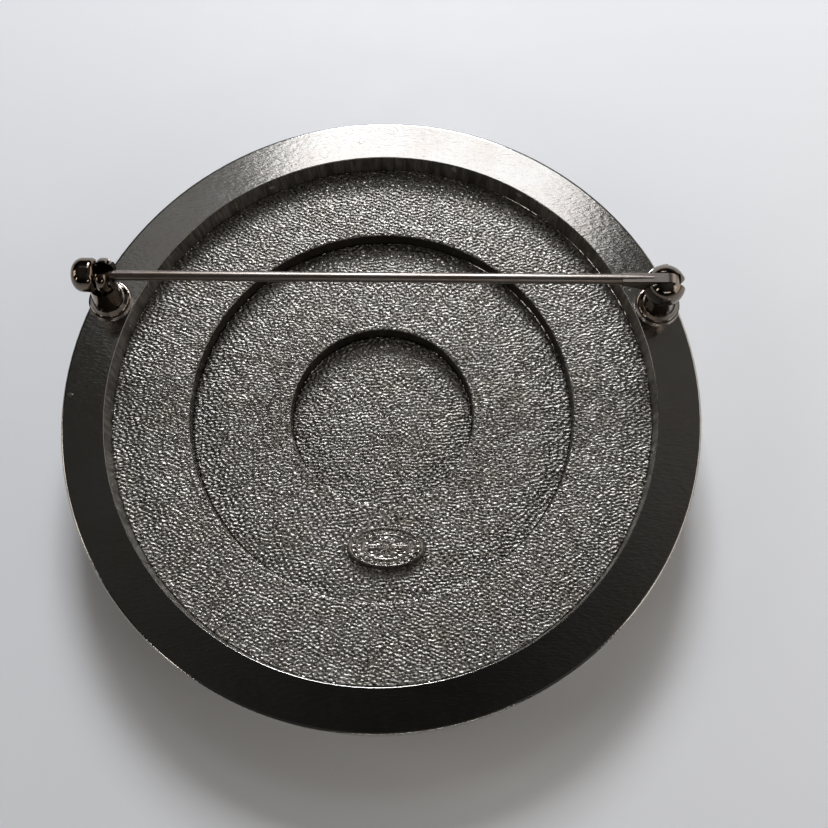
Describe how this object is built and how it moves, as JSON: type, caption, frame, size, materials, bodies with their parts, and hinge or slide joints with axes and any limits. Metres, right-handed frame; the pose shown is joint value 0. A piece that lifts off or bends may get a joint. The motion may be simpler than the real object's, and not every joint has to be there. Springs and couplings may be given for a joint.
{
  "type": "enamel pin badge",
  "caption": "Round stepped metal badge with an enamelled front, a hinged pin stem and a turning safety catch on its back.",
  "frame": {"origin": "centre of the resting face, which is the front of the centre tier; the badge lies face down", "axes": "+Z from the front to the back of the badge, along its shortest extent; +X along the pin stem, from the catch to the hinge; +Y towards the pin from the centre"},
  "size_m": [0.064, 0.064, 0.0157],
  "materials": {
    "cast_plating": "dark ruthenium-style plating over die-cast zinc, smooth on the rim, sparkling cast grain in the pockets",
    "bright_plating": "dark glossy plating over brass findings",
    "steel_wire": "dark plated drawn steel wire",
    "solder": "dark plated solder, slightly rough",
    "enamel_dark": "deep blue soft enamel",
    "enamel_light": "ivory soft enamel",
    "enamel_teal": "teal soft enamel",
    "enamel_accent": "brick red soft enamel"
  },
  "bodies": {
    "badge": {"badge_body": "cast_plating", "back_plaque": "cast_plating", "plaque_solder": "solder", "hinge_foot": "bright_plating", "hinge_ball": "bright_plating", "hinge_rivet": "steel_wire", "hinge_solder": "solder", "catch_foot": "bright_plating", "catch_collar": "bright_plating", "catch_solder": "solder", "enamel_outer_dark": "enamel_dark", "enamel_outer_light": "enamel_light", "enamel_middle_field": "enamel_teal", "enamel_middle_petals": "enamel_light", "enamel_centre_field": "enamel_dark", "enamel_centre_petals": "enamel_accent"},
    "stem": {"pin_stem": "steel_wire"},
    "lock": {"catch_sleeve": "bright_plating", "catch_knob": "bright_plating"}
  },
  "joints": [
    {"name": "stem_pivot", "type": "hinge", "parent": "badge", "child": "stem", "pos_m": [0.028, 0.0109, 0.0132], "axis": [0, 1, 0], "range_deg": [0, 100]},
    {"name": "lock_turn", "type": "hinge", "parent": "badge", "child": "lock", "pos_m": [-0.028, 0.0109, 0.014], "axis": [1, 0, 0], "range_deg": [0, 180]}
  ]
}
